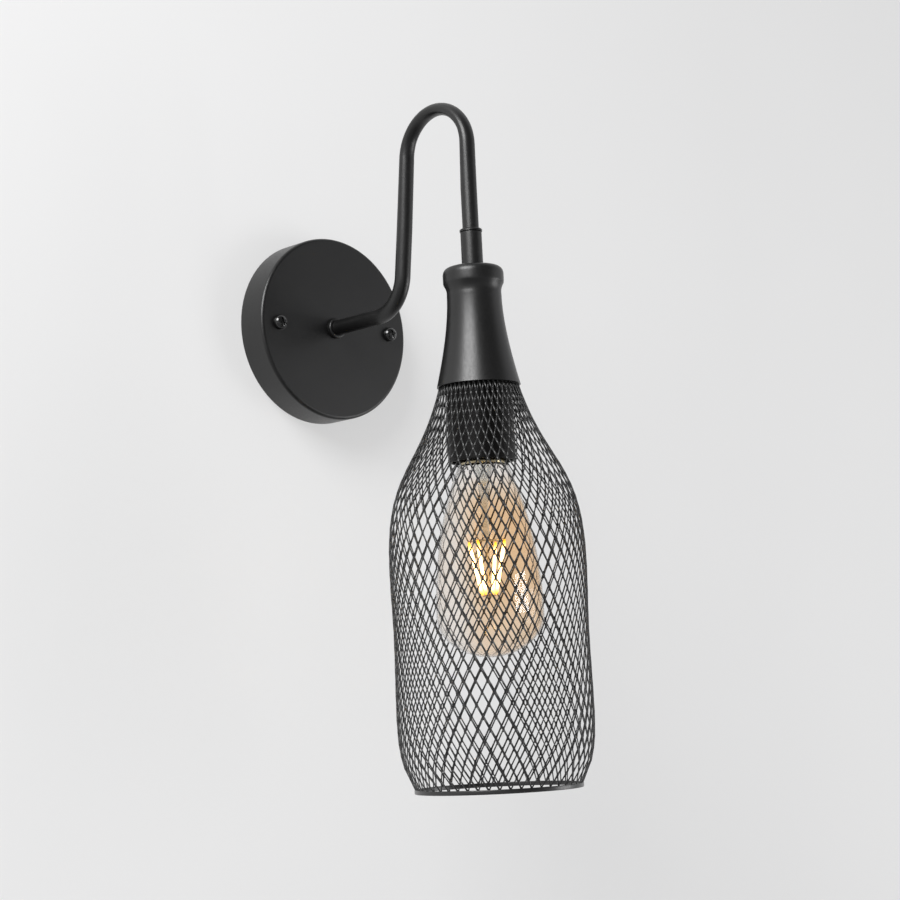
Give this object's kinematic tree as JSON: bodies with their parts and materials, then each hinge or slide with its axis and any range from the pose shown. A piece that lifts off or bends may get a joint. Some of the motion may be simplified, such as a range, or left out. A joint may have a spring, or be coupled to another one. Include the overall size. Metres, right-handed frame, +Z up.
{
  "type": "cage wall light",
  "caption": "Black swan-neck wall light: round canopy, bent tube arm and a flared neck cap over an open-bottomed expanded-metal cage round an amber filament lamp.",
  "frame": {"origin": "centre of the canopy's open back, on the wall plane", "axes": "+Z up the wall, -Y out of the wall into the room, +X to the right seen from the room"},
  "size_m": [0.12, 0.2138, 0.421],
  "materials": {
    "black_powder_coat": "satin black powder coat on steel",
    "black_mesh": "satin black powder coat on expanded steel",
    "gloss_black_screw": "glossy black",
    "zinc_plated_steel": "zinc plated",
    "brass": "plain brass",
    "nickel_brass": "rolled brass",
    "terminal_plastic": "moulded nylon",
    "holder_plastic": "moulded phenolic, smooth",
    "white_insulator": "glazed ceramic",
    "brown_insulation": "wire insulation",
    "blue_insulation": "wire insulation",
    "green_yellow_insulation": "wire insulation",
    "amber_glass": "clear amber glass",
    "clear_glass": "clear glass",
    "black_glass": "black vitrite",
    "solder": "tin solder",
    "support_wire": "nickel wire",
    "glowing_filament": "phosphor coated filament, lit"
  },
  "bodies": {
    "fixture": {"wall_bracket": "zinc_plated_steel", "earth_screw": "brass", "terminal_block": "terminal_plastic", "terminal_screws": "brass", "canopy": "black_powder_coat", "canopy_screws": "gloss_black_screw", "arm_collar": "black_powder_coat", "arm_washer": "zinc_plated_steel", "earth_tag": "zinc_plated_steel", "arm_nut": "zinc_plated_steel", "arm_tube": "black_powder_coat", "sleeve_lock_ring": "black_powder_coat", "coupler_sleeve": "black_powder_coat", "holder_nipple": "zinc_plated_steel", "neck_cap": "black_powder_coat", "cap_washer": "zinc_plated_steel", "cap_nut": "zinc_plated_steel", "cage_top_ring": "zinc_plated_steel", "cage_mesh": "black_mesh", "cage_rim": "black_powder_coat", "lampholder_dome": "holder_plastic", "lampholder_skirt": "holder_plastic", "lampholder_core": "white_insulator", "screw_shell": "brass", "centre_contact": "brass", "side_contact": "brass", "holder_terminal_screws": "zinc_plated_steel", "live_lead": "brown_insulation", "neutral_lead": "blue_insulation", "earth_lead": "green_yellow_insulation"},
    "lamp": {"bulb_glass": "amber_glass", "bulb_cap": "nickel_brass", "bulb_insulator": "black_glass", "bulb_contact": "solder", "bulb_stem": "clear_glass", "filament_supports": "support_wire", "bulb_filaments": "glowing_filament"}
  },
  "joints": [
    {"name": "lamp_draw", "type": "slide", "parent": "fixture", "child": "lamp", "axis": [0, 0, -1], "range_m": [0, 0.25]}
  ]
}
